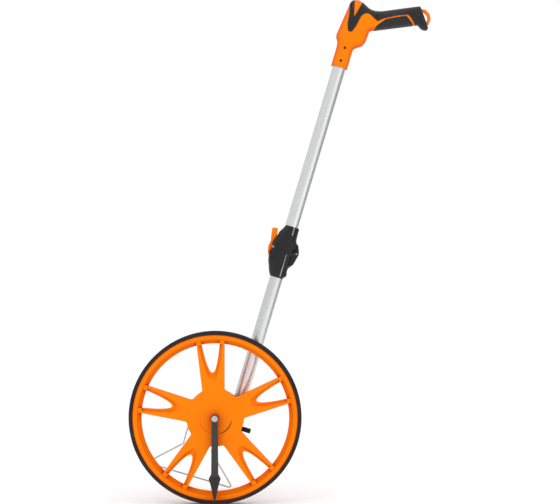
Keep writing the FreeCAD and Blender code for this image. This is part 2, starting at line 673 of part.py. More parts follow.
def tube_slit(low, high):
    """A narrow window in a casting's front, through to the tube."""
    return block((SLIT[0], S.tube_depth - 30, low), (SLIT[1], S.tube_depth - 8, high))


def make_fold_joint():
    """The two castings, with ears on the lower one, a tongue on the upper one and a slot for the latch."""
    inner = float(S.knuckle_half)
    outer = float(EAR_HALF)
    clear = float(S.free_gap)
    radius = float(S.knuckle_radius)
    slot = block((-5, S.tube_depth - LEVER_SLOT_HALF, 300), (14.6, S.tube_depth + LEVER_SLOT_HALF, 380))
    pin = knuckle(-30, 30, 2.0)
    lower = upright_loft(LOWER_STATIONS)
    ears = [knuckle(-outer, -inner - 0.3, radius), knuckle(inner + 0.3, outer, radius),
            lobe(LOWER_LOBE, -outer, -inner - 0.3), lobe(LOWER_LOBE, inner + 0.3, outer)]
    tongue_room = [knuckle(-inner - 0.3, inner + 0.3, radius + clear),
                   lobe_clearance(UPPER_LOBE, -inner - 0.3, inner + 0.3)]
    lower = lower.cut(tongue_room).fuse(ears)
    lower_bore = rod(S.tube_offset, S.tube_depth, 270, BORE_RADIUS, 58, (0, 0, 1))
    latch_bore = rod(LATCH_X, S.tube_depth - 12, LATCH_Z, 1.5, 24, (0, 1, 0))
    drill = [joint_screw_hole(LOWER_SCREW), joint_screw_hole(UPPER_SCREW)]
    lever_room = slot.common(block((-9, 0, 310), (20, 80, 340)))
    lower = lower.cut([drill[0], lower_bore, lever_room, latch_bore, pin, tube_slit(282, 327)])
    free_form("fold_joint_lower", POLE, lower)
    upper = upright_loft(UPPER_STATIONS)
    gaps = [knuckle(-outer - 9, -inner, radius + clear), knuckle(inner, outer + 9, radius + clear),
            lobe_clearance(LOWER_LOBE, -outer - 9, -inner), lobe_clearance(LOWER_LOBE, inner, outer + 9)]
    upper = upper.cut(gaps).fuse([knuckle(-inner, inner, radius), lobe(UPPER_LOBE, -inner, inner)])
    upper_bore = rod(S.tube_offset, S.tube_depth, 345, BORE_RADIUS, 42, (0, 0, 1))
    pin_clear = knuckle(-inner - 1, inner + 1, 2.0 + S.running_gap)
    upper = upper.cut([drill[1], upper_bore, slot, pin_clear, tube_slit(361, 390)])
    free_form("fold_joint_upper", POLE, upper)
    turned("hinge_pin", along(POLE, "y", S.hinge_across, S.tube_depth, S.split_height),
           ring_profile(0.0, 2.0, -outer, outer, 0.3))
    turned("latch_pin", along(POLE, "y", LATCH_X, S.tube_depth, LATCH_Z), ring_profile(0.0, 1.5, -12.0, 12.0))


def make_latch_lever():
    outline = [(10.2, 314.6), (8.0, 314.2), (4.6, 321.9), (2.9, 331.8), (4.4, 342.8), (2.6, 350.1),
               (0.4, 366.2), (10.7, 368.0), (12.0, 360.0), (13.4, 352.0), (12.4, 345.0), (9.6, 336.5),
               (10.6, 329.0), (12.2, 322.0)]
    half = LEVER_SLOT_HALF - 0.5
    lever = plate(outline, S.tube_depth - half, S.tube_depth + half, 0.8)
    lever = lever.cut(rod(LATCH_X, 0, LATCH_Z, 1.5 + S.running_gap, 80, (0, 1, 0)))
    free_form("latch_lever", POLE, lever)


def tube_profile(low, high):
    outer = S.tube_od / 2
    return [(outer - S.tube_wall, low), (outer, low), (outer, high), (outer - S.tube_wall, high)]


def make_tubes():
    place = along(POLE, "z", S.tube_offset, S.tube_depth, 0)
    turned("lower_tube", place, tube_profile(SOCKET_FOOT + 2.1, 327.8))
    turned("upper_tube", place, tube_profile(345.5, S.handle_foot + 40))


def make_joint_screws():
    """One screw through each casting's back, stopping at the tube."""
    for label, height in (("lower_joint_screw", LOWER_SCREW), ("upper_joint_screw", UPPER_SCREW)):
        screw = placed(button_screw(3.2, 1.6, 6.0, 1.2), S.tube_offset, JOINT_SCREW_SEAT, height, (0, -1, 0))
        free_form(label, POLE, screw.common(block((0, S.tube_depth + BORE_RADIUS, 0), (90, 90, BIG))))


# ---- handle ----

HEAD_STATIONS = [(688.0, 18.6, 49.4, 15.4), (700.0, 18.6, 49.4, 15.4), (722.0, 18.4, 49.6, 15.6),
                 (730.0, 17.0, 54.0, 16.6), (738.0, 13.2, 63.6, 18.0), (748.0, 11.8, 67.8, 19.2),
                 (762.0, 13.0, 69.0, 19.8), (780.0, 15.4, 71.0, 19.8), (796.0, 17.8, 70.0, 19.2),
                 (808.0, 19.2, 62.0, 17.0), (814.5, 22.0, 50.0, 13.6), (819.0, 28.0, 42.0, 8.0)]
GRIP_STATIONS = [(362.0, 680.0, 724.0, 14.0), (372.0, 678.6, 721.4, 15.2), (380.0, 678.0, 716.0, 15.8),
                 (388.0, 678.0, 712.7, 16.2), (399.0, 678.0, 710.8, 16.5),
                 (420.0, 678.4, 711.4, 16.8), (445.0, 678.0, 711.4, 16.6), (457.0, 676.4, 711.0, 16.2),
                 (466.0, 671.0, 710.6, 15.4), (475.0, 668.6, 710.0, 14.4), (484.0, 669.0, 709.0, 13.0)]
GRIP_END = ((147.5, 839.2), (172.0, 806.0))


def grip_loft(grow=0.0):
    """The grip, through sections square to its axis, each (distance along, low, high, half depth)."""
    angle = math.radians(S.grip_angle)
    axis = Vector(math.cos(angle), 0, math.sin(angle))
    across = Vector(-math.sin(angle), 0, math.cos(angle))
    wires = []
    for reach, low, high, half in GRIP_STATIONS:
        centre = axis * reach + across * ((low + high) / 2) + Vector(0, S.tube_depth, 0)
        wires.append(section(centre, across, (high - low) / 2 + grow, half + grow))
    loft = Part.makeLoft(wires, True, False)
    top, bottom = [Vector(x, 0, z) for x, z in GRIP_END]
    outward = (bottom - top).cross(Vector(0, 1, 0)).normalize()
    if outward.x < 0:
        outward = -outward
    beyond = [top + (top - bottom) * 9, bottom + (bottom - top) * 9]
    corners = [(p.x, p.z) for p in beyond + [p + outward * 99 for p in reversed(beyond)]]
    return loft.cut(plate(corners, 0, 99))


V_OUTLINE = [(16, 810), (24.7, 787.6), (26.6, 768.7), (32, 758.4), (37.4, 757.7), (41.3, 767.1),
             (45.4, 790.8), (51.1, 796.9), (59.5, 798.7), (77.6, 789.2), (86.6, 797.6), (109.9, 810.3),
             (129, 817.8), (148.5, 803.9), (146, 790), (180, 790), (180, 850), (140, 860), (100, 850),
             (60, 835), (44, 826), (40.4, 812), (34, 783), (27.5, 812), (24, 828), (14, 828)]
INSERT_OUTLINE = [(70, 766), (76.5, 773.5), (79.5, 782), (92, 797.4), (108, 806.4), (126, 815), (143, 804),
                  (143, 790), (110, 770)]
HANDLE_SCREWS = [(25.2, 804.1, 15.0), (33.9, 724.6, 15.4), (33.7, 699.8, 15.4), (74.9, 797.3, 16.6),
                 (150.0, 823.5, 15.0)]
SOCKET_SCREWS_BELOW = 730.0
LOOP_PATH = [(146, 832), (157, 834.8), (164.8, 830.5), (169.2, 822.5), (168.2, 814), (163.5, 808.5)]


def make_handle():
    """Two shells that meet on the pole's plane, with the overmould, the insert, the loop and the screws."""
    depth = float(S.tube_depth)
    outer = upright_loft(HEAD_STATIONS).fuse(grip_loft())
    grown = upright_loft(HEAD_STATIONS, S.overmould_rise).fuse(grip_loft(S.overmould_rise))
    wall = -float(S.handle_wall)
    hollow = upright_loft(HEAD_STATIONS[3:-1], wall).fuse(grip_loft(wall).common(
        block((-BIG, -BIG, -BIG), (158, BIG, 900))))
    tube = rod(S.tube_offset, depth, 680, BORE_RADIUS, 48.2, (0, 0, 1))
    posts = [rod(x, depth - half + 3, z, 3.6, 2 * half - 6, (0, 1, 0)) for x, z, half in HANDLE_SCREWS
             if z > 750]
    pits = [rod(x, depth - half - 3, z, 2.6, 5.4, (0, 1, 0)) for x, z, half in HANDLE_SCREWS]
    bores = []
    for x, z, half in HANDLE_SCREWS:
        bores.append(rod(x, depth - half, z, 1.3, 9.0 if z < SOCKET_SCREWS_BELOW else 24.0, (0, 1, 0)))
    shell = outer.cut(hollow).fuse([p.common(outer) for p in posts]).cut([tube] + pits + bores)
    free_form("handle_front", POLE, shell.common(block((-BIG, -BIG, -BIG), (BIG, depth, 1000))))
    free_form("handle_back", POLE, shell.common(block((-BIG, depth, -BIG), (BIG, BIG, 1000))))
    skin = grown.cut([outer] + pits)
    top = skin.common(plate(V_OUTLINE, depth - 40, depth + 40, 1.2))
    under = skin.common(plate(INSERT_OUTLINE, depth - 40, depth + 40, 1.2))
    free_form("grip_overmould", POLE, top)
    free_form("grip_insert", POLE, under)
    screw = button_screw(2.3, 1.3, 8.0, 1.0)
    screws = []
    for x, z, half in HANDLE_SCREWS:
        piece = placed(screw, x, depth - half + 2.4, z, (0, 1, 0))
        if z < SOCKET_SCREWS_BELOW:
            piece = piece.common(block((-BIG, -BIG, -BIG), (BIG, depth - BORE_RADIUS - 0.1, 1000)))
        screws.append(piece)
    free_form("handle_screws", POLE, Part.makeCompound(screws))
    face = flat_face(LOOP_PATH).makeOffset2D(3.1)
    hole = flat_face(LOOP_PATH).makeOffset2D(-2.4)
    loop = face.cut(hole)
    loop.translate(Vector(0, depth - 3.5, 0))
    loop = loop.extrude(Vector(0, 7, 0)).cut(grown)
    biggest = max(loop.Solids, key=lambda solid: solid.Volume)
    free_form("hang_loop", POLE, biggest)


# ---- pointer ----

def make_pointer():
    """The hanging pointer: a boss on the axle, a ridged shaft and a solid arrowhead."""
    length = float(S.pointer_length)
    front, back = -25.6, -20.6
    shaft = plate([(-5.5, 0), (5.5, 0), (6.6, -104), (-6.6, -104)], front, back, 0.0)
    on_front = [e for e in shaft.Edges if max(abs(v.Y - front) for v in e.Vertexes) < 1e-6]
    bevels = [e for e in on_front if e.BoundBox.ZLength > length / 3]
    shaft = shaft.makeChamfer(1.8, bevels)
    head_points = [(-7.2, -102.5), (7.2, -102.5), (11, -110), (7.5, -121), (0.7, -length), (-0.7, -length),
                   (-7.5, -121), (-11, -110)]
    head = plate(head_points, front - 0.8, back + 0.4, 0.5)
    ridge = [Vector(x, front - 0.8, z) for x, z in head_points]
    peak = Vector(0, front - 3.2, -112)
    faces = []
    for i, corner in enumerate(ridge):
        after = ridge[(i + 1) % len(ridge)]
        faces.append(Part.Face(Part.makePolygon([corner, after, peak, corner])))
    faces.append(Part.Face(Part.makePolygon(ridge + ridge[:1])))
    crown = Part.makeSolid(Part.makeShell(faces))
    boss = rod(0, front - 0.4, 0, 7.5, 9.8, (0, 1, 0))
    boss = boss.makeFillet(0.8, [e for e in boss.Edges if e.BoundBox.YLength < 1e-6])
    bore = rod(0, -60, 0, S.axle_radius + S.running_gap, 60, (0, 1, 0))
    seat = rod(0, -60, 0, 6.3, 60 - 26.6, (0, 1, 0))
    shape = shaft.fuse([head, crown, boss]).cut([bore, seat])
    free_form("pointer", WHEEL, shape)


# ---- build, check and write ----

def build_all():
    make_wheel()
    make_tyre()
    make_hub_bushes()
    make_drive_gear()
    make_input_gear()
    make_number_drums()
    make_transfer_pinions()
    make_counter_frame()
    make_housing()
    make_counter_window()
    make_axle()
    make_reset()
    make_stand()
    make_fold_joint()
    make_latch_lever()
    make_tubes()
    make_joint_screws()
    make_handle()
    make_pointer()
    doc.recompute()


def check_all():
    """Stop before anything is written if an object failed."""
    for obj in doc.Objects:
        if "Invalid" in obj.State or "Error" in obj.State:
            raise RuntimeError("%s (%s) failed: %s" % (obj.Name, obj.Label, obj.State))
    for obj in subparts:
        if obj.Shape.isNull() or not obj.Shape.isValid() or not obj.Shape.Solids:
            raise RuntimeError("%s has no valid solid" % obj.Label)


def write_all():
    os.makedirs("parts", exist_ok=True)
    for obj in subparts:
        obj.Shape.exportStep("parts/%s.step" % obj.Label)
        box = obj.Shape.BoundBox
        print("%-20s solids %2d  volume %9.1f  x %7.1f %7.1f  y %6.1f %6.1f  z %6.1f %6.1f" % (
            obj.Label, len(obj.Shape.Solids), obj.Shape.Volume, box.XMin, box.XMax, box.YMin, box.YMax,
            box.ZMin, box.ZMax))


build_all()
check_all()
write_all()
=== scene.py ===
import json
import math

import bmesh
import bpy
import numpy as np
from mathutils import Matrix, Vector
from mathutils.geometry import delaunay_2d_cdt


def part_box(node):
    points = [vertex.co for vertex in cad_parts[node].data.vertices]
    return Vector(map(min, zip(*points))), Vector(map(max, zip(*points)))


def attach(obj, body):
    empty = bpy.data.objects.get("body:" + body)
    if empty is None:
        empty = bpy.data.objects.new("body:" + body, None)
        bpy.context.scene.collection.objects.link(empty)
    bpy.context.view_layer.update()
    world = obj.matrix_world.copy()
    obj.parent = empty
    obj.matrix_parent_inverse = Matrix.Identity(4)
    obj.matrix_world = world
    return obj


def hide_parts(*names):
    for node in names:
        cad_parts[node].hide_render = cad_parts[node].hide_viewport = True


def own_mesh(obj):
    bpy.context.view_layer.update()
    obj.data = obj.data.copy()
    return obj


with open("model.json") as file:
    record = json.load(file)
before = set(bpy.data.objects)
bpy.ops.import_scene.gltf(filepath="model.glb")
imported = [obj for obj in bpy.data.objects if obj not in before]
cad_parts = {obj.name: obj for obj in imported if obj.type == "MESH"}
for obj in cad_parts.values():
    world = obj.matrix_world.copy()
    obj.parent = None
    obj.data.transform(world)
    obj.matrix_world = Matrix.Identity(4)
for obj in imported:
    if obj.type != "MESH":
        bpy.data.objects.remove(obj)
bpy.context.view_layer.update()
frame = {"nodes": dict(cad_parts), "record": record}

# A measuring wheel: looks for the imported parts, and the pieces whose final shape is made here.
# Outlines are in millimetres in the pole's frame, whose origin is the axle's centre, z along the pole.

nodes = frame["nodes"]
MM = 0.001


def node_box(name):
    low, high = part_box(name)
    return Vector(low), Vector(high)


LEAN = math.radians(16.65)
TYRE_LOW, TYRE_HIGH = node_box("tyre")
AXLE = (TYRE_LOW + TYRE_HIGH) / 2
WHEEL = Matrix.Translation((AXLE.x, 0, AXLE.z))
POLE = WHEEL @ Matrix.Rotation(LEAN, 4, "Y")
TUBE_LOW, TUBE_HIGH = node_box("lower_tube")
DEPTH = (TUBE_LOW.y + TUBE_HIGH.y) / 2 / MM


# ---- stage ----

def make_camera():
    """The photograph's view: level, square to the wheel, at half the object's height."""
    data = bpy.data.cameras.new("camera")
    data.lens = 94.1
    data.sensor_width = 36.0
    camera = bpy.data.objects.new("camera", data)
    camera.location = (0.1194, -2.7, 0.4639)
    camera.rotation_euler = (math.radians(90), 0, 0)
    bpy.context.scene.collection.objects.link(camera)
    bpy.context.scene.camera = camera


def aimed(obj, place, target):
    obj.location = place
    obj.rotation_euler = (Vector(target) - Vector(place)).to_track_quat("-Z", "Y").to_euler()
    bpy.context.scene.collection.objects.link(obj)


def area_light(name, place, target, size, power):
    data = bpy.data.lights.new(name, "AREA")
    data.shape = "RECTANGLE"
    data.size, data.size_y = size
    data.energy = power
    light = bpy.data.objects.new(name, data)
    aimed(light, place, target)
    return light


def paper(name, shade):
    """Matt card in one shade of grey."""
    paint = bpy.data.materials.new(name)
    paint.use_nodes = True
    shader = paint.node_tree.nodes["Principled BSDF"]
    shader.inputs["Base Color"].default_value = (shade, shade, shade, 1)
    shader.inputs["Roughness"].default_value = 0.9
    shader.inputs["Specular IOR Level"].default_value = 0.0
    return paint


def make_floor(half, shade):
    """A flat square of studio card."""
    mesh = bpy.data.meshes.new("floor")
    corners = [(-half, -half, 0), (half, -half, 0), (half, half, 0), (-half, half, 0)]
    mesh.from_pydata(corners, [], [(0, 1, 2, 3)])
    mesh.materials.append(paper("floor", shade))
    floor = bpy.data.objects.new("floor", mesh)
    bpy.context.scene.collection.objects.link(floor)


def curved_card(name, start, stop, radius, height, shade):
    """A curved wall of card that only reflections see, between two bearings from the front towards +X."""
    mesh = bpy.data.meshes.new(name)
    count, gap_to_floor = 24, 0.02
    points, faces = [], []
    for i in range(count + 1):
        bearing = math.radians(start + (stop - start) * i / count)
        for level in (gap_to_floor, height):
            points.append((radius * math.sin(bearing), -radius * math.cos(bearing), level))
    for i in range(count):
        faces.append((2 * i, 2 * i + 2, 2 * i + 3, 2 * i + 1))
    mesh.from_pydata(points, [], faces)
    mesh.shade_smooth()
    mesh.materials.append(paper(name, shade))
    wall = bpy.data.objects.new(name, mesh)
    bpy.context.scene.collection.objects.link(wall)
    wall.visible_camera = False
    wall.visible_diffuse = False
    wall.visible_shadow = False


def make_stage():
    """A white room with a white floor, two soft lights, and grey walls that give the metal its edges."""
    world = bpy.data.worlds.new("studio")
    bpy.context.scene.world = world
    world.use_nodes = True
    world.node_tree.nodes["Background"].inputs["Color"].default_value = (1, 1, 1, 1)
    world.node_tree.nodes["Background"].inputs["Strength"].default_value = 1.01
    make_floor(40, 1.0)
    curved_card("grey_wall", -165, 22, 3.4, 3.4, 0.71)
    curved_card("edge_wall", 76, 126, 0.8, 1.2, 0.38)
    target = (0.08, 0.02, 0.45)
    area_light("key", (-1.1, -1.9, 3.0), target, (1.2, 1.2), 8)
    area_light("side", (2.2, -1.0, 0.9), target, (0.8, 1.8), 3).visible_glossy = False
    scene = bpy.context.scene
    scene.view_settings.view_transform = "Standard"
    scene.view_settings.look = "None"


# ---- materials ----

class Surface:
    """A procedural material, with short calls for the nodes that it is built from."""

    def __init__(self, name, colour, roughness, metallic=0.0, specular=0.5, edge=0.0):
        self.material = bpy.data.materials.new(name)
        self.material.use_nodes = True
        self.tree = self.material.node_tree
        self.shader = self.tree.nodes["Principled BSDF"]
        self.shader.inputs["Base Color"].default_value = (*colour, 1)
        self.shader.inputs["Roughness"].default_value = roughness
        self.shader.inputs["Metallic"].default_value = metallic
        self.shader.inputs["Specular IOR Level"].default_value = specular
        self.coordinates = self.tree.nodes.new("ShaderNodeTexCoord").outputs["Object"]
        self.normal = None
        if edge:
            soft = self.tree.nodes.new("ShaderNodeBevel")
            soft.samples = 4
            soft.inputs["Radius"].default_value = edge
            self.normal = soft.outputs["Normal"]
            self.link(self.normal, self.shader.inputs["Normal"])

    def link(self, source, target):
        self.tree.links.new(source, target)

    def stretched(self, scale, lean=0.0):
        """Coordinates stretched along a direction that leans in the XZ plane."""
        mapping = self.tree.nodes.new("ShaderNodeMapping")
        mapping.vector_type = "TEXTURE"
        mapping.inputs["Rotation"].default_value = (0, lean, 0)
        mapping.inputs["Scale"].default_value = scale
        self.link(self.coordinates, mapping.inputs["Vector"])
        return mapping.outputs["Vector"]

    def noise(self, scale, detail=4.0, vector=None):
        texture = self.tree.nodes.new("ShaderNodeTexNoise")
        texture.inputs["Scale"].default_value = scale
        texture.inputs["Detail"].default_value = detail
        self.link(vector or self.coordinates, texture.inputs["Vector"])
        return texture.outputs["Fac"]

    def ramp(self, value, low, high, near=0.3, far=0.7):
        node = self.tree.nodes.new("ShaderNodeMapRange")
        node.inputs["From Min"].default_value = near
        node.inputs["From Max"].default_value = far
        node.inputs["To Min"].default_value = low
        node.inputs["To Max"].default_value = high
        self.link(value, node.inputs["Value"])
        return node.outputs["Result"]

    def mixed(self, share, low, high):
        """A mix of two colours, where the second may be another node's output."""
        node = self.tree.nodes.new("ShaderNodeMix")
        node.data_type = "RGBA"
        node.inputs["A"].default_value = (*low, 1)
        if isinstance(high, tuple):
            node.inputs["B"].default_value = (*high, 1)
        else:
            self.link(high, node.inputs["B"])
        self.link(share, node.inputs["Factor"])
        return node.outputs["Result"]

    def vary_colour(self, value, dark, light):
        self.link(self.mixed(self.ramp(value, 0.0, 1.0), dark, light), self.shader.inputs["Base Color"])

    def axis_share(self, output, axis, low, high):
        """How far one part of a texture coordinate, without its sign, lies between two values."""
        coordinates = self.tree.nodes.new("ShaderNodeTexCoord")
        parts = self.tree.nodes.new("ShaderNodeSeparateXYZ")
        self.link(coordinates.outputs[output], parts.inputs["Vector"])
        size = self.tree.nodes.new("ShaderNodeMath")
        size.operation = "ABSOLUTE"
        self.link(parts.outputs[axis], size.inputs[0])
        return self.ramp(size.outputs["Value"], 0.0, 1.0, low, high)

    def painted_recess_shade(self, colour, deep, reach):
        """A colour that grows deeper inside corners and recesses: painted shade."""
        open_share = self.tree.nodes.new("ShaderNodeAmbientOcclusion")
        open_share.samples = 8
        open_share.inputs["Distance"].default_value = reach
        share = self.ramp(open_share.outputs["AO"], 0.0, 1.0, 0.35, 0.92)
        return self.mixed(share, deep, colour)

    def vary_roughness(self, value, low, high):
        self.link(self.ramp(value, low, high), self.shader.inputs["Roughness"])

    def bump(self, value, distance, strength=0.5):
        node = self.tree.nodes.new("ShaderNodeBump")
        node.inputs["Distance"].default_value = distance
        node.inputs["Strength"].default_value = strength
        self.link(value, node.inputs["Height"])
        if self.normal:
            self.link(self.normal, node.inputs["Normal"])
        self.normal = node.outputs["Normal"]
        self.link(self.normal, self.shader.inputs["Normal"])

    def set(self, **values):
        for name, value in values.items():
            self.shader.inputs[name.replace("_", " ")].default_value = value


def moulded_orange():
    """Saturated plastic, with painted shade on its side walls and in its recesses, and faintly uneven."""
    look = Surface("orange_abs", (0.99, 0.225, 0.0), 0.34, specular=0.08, edge=0.0012)
    fresh = look.mixed(look.ramp(look.noise(9, 3), 0.0, 1.0), (0.97, 0.21, 0.0), (0.99, 0.24, 0.0))
    # Painted shade: walls that face sideways, rather than to the front or back, get a deeper orange.
    walls = look.mixed(look.axis_share("Normal", "Y", 0.25, 0.85), (0.76, 0.072, 0.0), fresh)
    # Painted shade: the colour deepens further inside corners and recesses.
    look.link(look.painted_recess_shade(walls, (0.66, 0.028, 0.0), 0.022), look.shader.inputs["Base Color"])
    look.vary_roughness(look.noise(60, 5), 0.28, 0.42)
    look.bump(look.noise(1400, 2), 0.00003, 0.3)
    look.bump(look.noise(26, 2), 0.0004, 0.08)
    return look.material


def moulded_black():
    look = Surface("black_nylon", (0.011, 0.011, 0.012), 0.42, specular=0.30, edge=0.0006)
    look.vary_colour(look.noise(14, 4), (0.009, 0.009, 0.010), (0.016, 0.016, 0.017))
    look.vary_roughness(look.noise(90, 5), 0.34, 0.50)
    look.bump(look.noise(1900, 2), 0.00008, 0.5)
    return look.material


def grey_nylon():
    """The pointer's nylon, darker towards its tip than along the rest of it."""
    look = Surface("grey_nylon", (0.030, 0.029, 0.030), 0.36, specular=0.45, edge=0.0004)
    spread = look.ramp(look.noise(40, 4), 0.0, 1.0)
    grain = look.mixed(spread, (0.026, 0.025, 0.026), (0.036, 0.035, 0.036))
    head = look.mixed(look.axis_share("Generated", "Z", 0.28, 0.31), (0.010, 0.010, 0.010), grain)
    look.link(head, look.shader.inputs["Base Color"])
    look.vary_roughness(look.noise(160, 5), 0.28, 0.44)
    look.bump(look.noise(1900, 2), 0.00005, 0.4)
    return look.material


def satin_aluminium():
    look = Surface("satin_aluminium", (0.42, 0.42, 0.43), 0.45, metallic=1.0)
    look.vary_colour(look.noise(300, 5), (0.36, 0.36, 0.37), (0.48, 0.48, 0.49))
    look.vary_roughness(look.noise(500, 4), 0.38, 0.55)
    look.bump(look.noise(1800, 3), 0.00002, 0.4)
    return look.material


def dark_steel():
    look = Surface("dark_steel", (0.06, 0.045, 0.04), 0.4, metallic=1.0)
    look.vary_colour(look.noise(180, 6), (0.04, 0.03, 0.027), (0.085, 0.065, 0.055))
    look.vary_roughness(look.noise(260, 5), 0.36, 0.55)
    look.bump(look.noise(1500, 3), 0.00003, 0.4)
    return look.material


def tyre_rubber():
    look = Surface("tyre_rubber", (0.020, 0.018, 0.020), 0.72, specular=0.2)
    look.vary_colour(look.noise(30, 6), (0.015, 0.014, 0.015), (0.028, 0.026, 0.028))
    look.vary_roughness(look.noise(120, 5), 0.60, 0.84)
    look.bump(look.noise(900, 4), 0.00012, 0.6)
    return look.material


def soft_grip():
    look = Surface("soft_grip", (0.018, 0.018, 0.022), 0.5, specular=0.25)
    look.vary_colour(look.noise(22, 5), (0.015, 0.015, 0.018), (0.024, 0.024, 0.028))
    look.vary_roughness(look.noise(150, 4), 0.42, 0.60)
    look.bump(look.noise(2600, 2), 0.00010, 0.6)
    look.set(Sheen_Weight=0.06, Sheen_Roughness=0.5)
    return look.material


def tube_aluminium(name, shade):
    """Drawn tube, with fine lines along its length."""
    look = Surface(name, (shade, shade * 1.005, shade * 1.01), 0.28, metallic=1.0)
    lines = look.noise(1.0, 5, look.stretched((0.0006, 0.0006, 0.12), LEAN))
    look.vary_colour(lines, tuple(shade * tint for tint in (0.96, 0.965, 0.975)),
                     tuple(shade * tint for tint in (1.04, 1.045, 1.05)))
    look.vary_roughness(lines, 0.25, 0.33)
    look.bump(look.noise(2200, 2), 0.000004, 0.2)
    return look.material


def bright_wire():
    look = Surface("bright_wire", (0.55, 0.55, 0.56), 0.16, metallic=1.0)
    look.vary_colour(look.noise(240, 4), (0.42, 0.42, 0.43), (0.62, 0.62, 0.63))
    look.vary_roughness(look.noise(320, 4), 0.10, 0.24)
    look.bump(look.noise(700, 3), 0.00003, 0.25)
    return look.material


def zinc_steel():
    look = Surface("zinc_steel", (0.60, 0.60, 0.56), 0.34, metallic=1.0, edge=0.0003)
    look.vary_colour(look.noise(180, 6), (0.48, 0.48, 0.46), (0.70, 0.70, 0.66))
    look.vary_roughness(look.noise(260, 5), 0.26, 0.46)
    look.bump(look.noise(1500, 3), 0.00003, 0.4)
    return look.material


def drum_white():
    look = Surface("drum_white", (0.82, 0.82, 0.79), 0.4)
    look.vary_colour(look.noise(60, 4), (0.76, 0.76, 0.73), (0.86, 0.86, 0.83))
    look.vary_roughness(look.noise(200, 3), 0.35, 0.5)
    look.bump(look.noise(1500, 2), 0.00003, 0.3)
    return look.material


def natural_nylon():
    look = Surface("natural_nylon", (0.72, 0.68, 0.56), 0.45)
    look.vary_colour(look.noise(80, 4), (0.66, 0.62, 0.50), (0.76, 0.73, 0.62))
    look.vary_roughness(look.noise(160, 4), 0.38, 0.55)
    look.bump(look.noise(1300, 2), 0.00004, 0.3)
    return look.material


def clear_lens():
    look = Surface("clear_lens", (0.96, 0.98, 0.98), 0.05)
    look.vary_roughness(look.noise(40, 3), 0.02, 0.08)
    look.set(Transmission_Weight=1.0, IOR=1.49)
    return look.material


def printed_ink():
    look = Surface("printed_ink", (0.25, 0.05, 0.008), 0.5, specular=0.2)
    look.vary_colour(look.noise(300, 4), (0.16, 0.035, 0.006), (0.34, 0.07, 0.008))
    look.vary_roughness(look.noise(400, 3), 0.42, 0.6)
    return look.material


def digit_ink():
    look = Surface("digit_ink", (0.01, 0.01, 0.01), 0.45, specular=0.3)
    look.vary_colour(look.noise(500, 4), (0.008, 0.008, 0.008), (0.02, 0.02, 0.02))
    look.vary_roughness(look.noise(600, 3), 0.38, 0.55)
    return look.material


def make_looks():
    """Every finish, by the name of its material slot or its own."""
    return {"orange_plastic": moulded_orange(), "black_plastic": moulded_black(),
            "tyre_rubber": tyre_rubber(), "soft_grip": soft_grip(),
            "tube_aluminium": tube_aluminium("tube_aluminium", 0.83),
            # The lower tube's copy of the tube finish is darker, as painted shade.
            "painted_shade_aluminium": tube_aluminium("painted_shade_aluminium", 0.76), "bright_wire": bright_wire(),
            "zinc_steel": zinc_steel(), "dark_steel": dark_steel(), "satin_aluminium": satin_aluminium(),
            "grey_nylon": grey_nylon(), "counter_white": drum_white(), "nylon": natural_nylon(),
            "clear_lens": clear_lens(), "printed": printed_ink(), "digits": digit_ink()}


# Nodes with a finish that isn't their slot's.
OWN_LOOKS = {"latch_pin": "dark_steel", "hinge_pin": "satin_aluminium", "pointer": "grey_nylon",
             # The lower tube takes the darker copy of the tube finish: painted shade.
             "lower_tube": "painted_shade_aluminium"}


def dress_cad():
    """Each CAD node takes the finish of its material slot, or its own."""
    for entry in frame["record"]["subparts"]:
        obj = nodes[entry["node"]]
        obj.data.materials.clear()
        obj.data.materials.append(LOOKS[OWN_LOOKS.get(entry["node"], entry["material_slot"])])


# ---- pieces ----

def make_piece(name, points, faces, body, look, slot=None, place=POLE, sharp=38):
    """An object from points in millimetres in a frame, with its finish, on its body."""
    mesh = bpy.data.meshes.new(name)
    mesh.from_pydata([place @ (Vector(p) * MM) for p in points], [], faces)
    build = bmesh.new()
    build.from_mesh(mesh)
    bmesh.ops.remove_doubles(build, verts=build.verts, dist=1e-7)
    bmesh.ops.recalc_face_normals(build, faces=build.faces)
    build.to_mesh(mesh)
    build.free()
    mesh.shade_smooth()
    mesh.set_sharp_from_angle(angle=math.radians(sharp))
    mesh.materials.append(LOOKS[look])
    obj = bpy.data.objects.new(name, mesh)
    bpy.context.scene.collection.objects.link(obj)
    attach(obj, body)
    return obj


def rounded(points, corner, step=1.8):
    """A closed outline with its corners rounded and its points evenly spaced."""
    count = len(points)
    line = []
    for i in range(count):
        here, before, after = (np.array(points[j % count], float) for j in (i, i - 1, i + 1))
        back, ahead = before - here, after - here
        reach = min(corner, 0.46 * np.linalg.norm(back), 0.46 * np.linalg.norm(ahead))
        start = here + back / np.linalg.norm(back) * reach
        stop = here + ahead / np.linalg.norm(ahead) * reach
        for t in np.linspace(0, 1, 7):
            line.append((1 - t) ** 2 * start + 2 * t * (1 - t) * here + t ** 2 * stop)
    line = np.array(line + line[:1])
    along = np.concatenate([[0], np.cumsum(np.linalg.norm(np.diff(line, axis=0), axis=1))])
    places = np.linspace(0, along[-1], int(along[-1] / step) + 1)[:-1]
    return np.stack([np.interp(places, along, line[:, k]) for k in (0, 1)], axis=1)


def distance_to(line, points):
    """How far each point is from a closed outline."""
    best = np.full(len(points), 1e9)
    for start, stop in zip(line, np.roll(line, -1, axis=0)):
        run = stop - start
        share = np.clip((points - start) @ run / (run @ run), 0, 1)
        best = np.minimum(best, np.linalg.norm(points - start - share[:, None] * run, axis=1))
    return best


def inside(line, points):
    """Which points lie inside a closed outline."""
    result = np.zeros(len(points), bool)
    for (x0, z0), (x1, z1) in zip(line, np.roll(line, -1, axis=0)):
        crossing = (z0 > points[:, 1]) != (z1 > points[:, 1])
        at = x0 + (points[:, 1] - z0) * (x1 - x0) / (z1 - z0 if z1 != z0 else 1e-9)
        result ^= crossing & (points[:, 0] < at)
    return result


